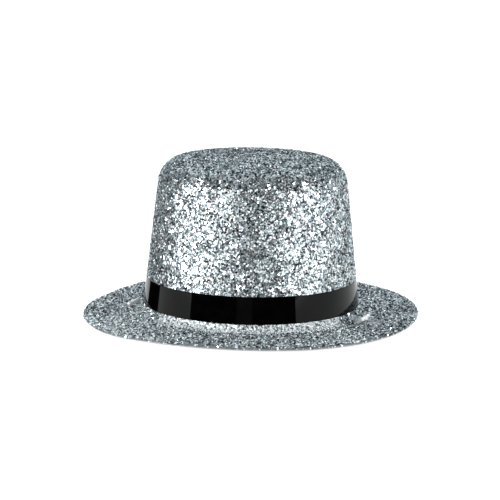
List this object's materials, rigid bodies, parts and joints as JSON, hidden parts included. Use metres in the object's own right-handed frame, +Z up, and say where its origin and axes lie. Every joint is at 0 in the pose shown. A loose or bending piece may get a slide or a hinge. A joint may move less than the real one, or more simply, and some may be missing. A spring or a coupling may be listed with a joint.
{
  "type": "miniature party top hat",
  "caption": "Small round party top hat of formed plastic with a silver glitter coat, a glossy black band and a thin white chin elastic ending in T-bars.",
  "frame": {"origin": "middle of the brim, on the surface that the brim's edge stands on", "axes": "+Z up through the crown, -Y towards the front of the hat, +X towards the wearer's left"},
  "size_m": [0.127, 0.127, 0.0622],
  "materials": {
    "shell_plastic": "formed sheet, satin grey",
    "silver_glitter": "silver flakes in clear glue",
    "black_film": "high gloss film",
    "clear_tape": "double-sided tape",
    "white_elastic": "braided sleeve over rubber",
    "tie_paper": "plain paper",
    "white_plastic": "moulded, satin"
  },
  "bodies": {
    "hat": {"hat_shell": "shell_plastic", "glitter_coat": "silver_glitter", "hat_band": "black_film", "band_tape": "clear_tape", "elastic_right": "white_elastic", "elastic_coil": "white_elastic", "elastic_left": "white_elastic", "elastic_tie": "tie_paper"},
    "right_bar": {"right_barb": "white_plastic"},
    "left_bar": {"left_barb": "white_plastic"}
  },
  "joints": [
    {"name": "right_bar_swivel", "type": "hinge", "parent": "hat", "child": "right_bar", "pos_m": [0.04256, -0.01772, 0.0039], "axis": [0, 0, 1], "range_deg": [-45, 45]},
    {"name": "left_bar_swivel", "type": "hinge", "parent": "hat", "child": "left_bar", "pos_m": [-0.04487, 0.00337, 0.004], "axis": [0, 0, 1], "range_deg": [-15, 40]}
  ]
}
